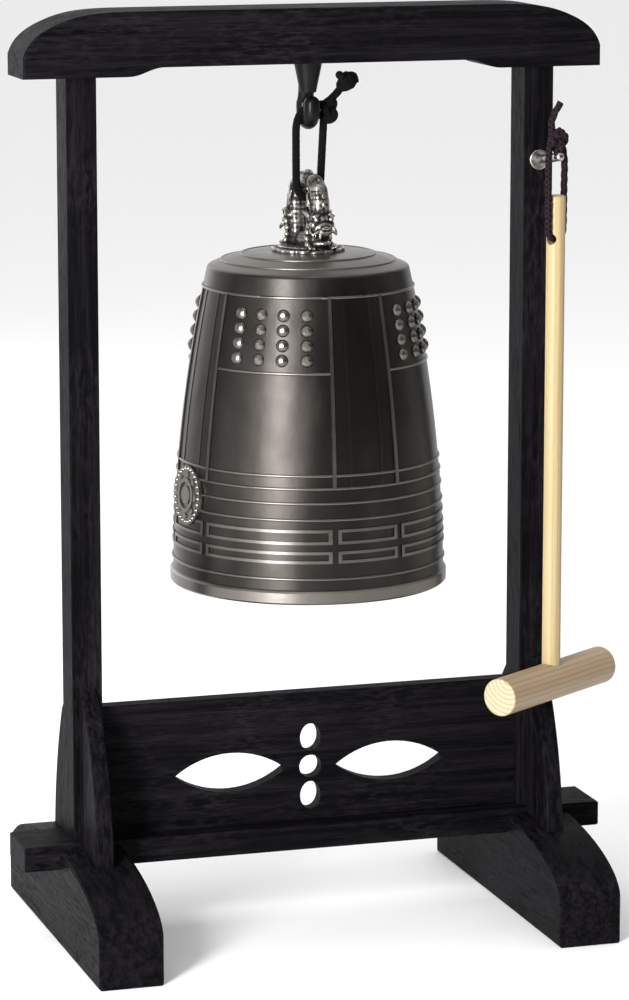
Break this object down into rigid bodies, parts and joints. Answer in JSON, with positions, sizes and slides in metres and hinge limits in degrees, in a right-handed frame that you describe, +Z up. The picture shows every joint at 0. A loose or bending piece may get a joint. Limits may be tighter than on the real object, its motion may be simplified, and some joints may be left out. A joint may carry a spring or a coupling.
{
  "type": "temple bell",
  "caption": "Small bronze temple bell with raised bosses, hung by a cord from a black wooden stand, with a T-shaped wooden mallet on a peg.",
  "frame": {"origin": "on the ground, at the middle of the whole footprint", "axes": "+Z up, the front with the mallet faces -Y, X runs along the top beam"},
  "size_m": [0.3494, 0.21, 0.5175],
  "materials": {
    "black_wood": "black stained open-grain wood, satin",
    "plain_wood": "plain beech dowel",
    "pale_wood": "pale cream wood, smooth",
    "tan_wood": "tan wood with pale end grain",
    "bronze": "dark patinated cast metal, worn on its ridges",
    "worn_bronze": "rubbed bright cast metal, dark in its hollows",
    "steel": "plain zinc-grey steel",
    "bright_steel": "polished steel",
    "black_iron": "black painted iron, glossy",
    "dark_cord": "dark braided cord"
  },
  "bodies": {
    "stand": {"top_beam": "black_wood", "left_post": "black_wood", "right_post": "black_wood", "lower_panel": "black_wood", "base_rail": "black_wood", "left_foot": "black_wood", "right_foot": "black_wood", "brace_front_left": "black_wood", "brace_rear_left": "black_wood", "brace_front_right": "black_wood", "brace_rear_right": "black_wood", "brace_dowels": "plain_wood", "foot_screws": "steel", "bell_hook": "black_iron", "mallet_peg": "bright_steel"},
    "bell_hanger": {"bell_cord": "dark_cord", "bell_cord_knot": "dark_cord", "bell_cord_end_knot": "dark_cord"},
    "bell": {"bell_body": "bronze", "dragon_crown": "worn_bronze", "crown_washer": "steel", "crown_nut": "steel"},
    "mallet_hanger": {"mallet_cord": "dark_cord", "mallet_cord_knot": "dark_cord"},
    "mallet": {"mallet_handle": "pale_wood", "mallet_head": "tan_wood"}
  },
  "joints": [
    {"name": "bell_side_swing", "type": "hinge", "parent": "stand", "child": "bell_hanger", "pos_m": [-0.0048, 0, 0.4541], "axis": [0, 1, 0], "range_deg": [-8, 8]},
    {"name": "bell_fore_aft_swing", "type": "hinge", "parent": "bell_hanger", "child": "bell", "pos_m": [-0.0048, 0, 0.412], "axis": [0.9877, 0.1564, 0], "range_deg": [-16, 16]},
    {"name": "mallet_lift_off", "type": "slide", "parent": "stand", "child": "mallet_hanger", "axis": [0, -0.9903, 0.1392], "range_m": [0, 0.04]},
    {"name": "mallet_swing", "type": "hinge", "parent": "mallet_hanger", "child": "mallet", "pos_m": [0.1267, -0.0399, 0.389], "axis": [-0.8111, -0.585, 0], "range_deg": [0, 30]}
  ]
}
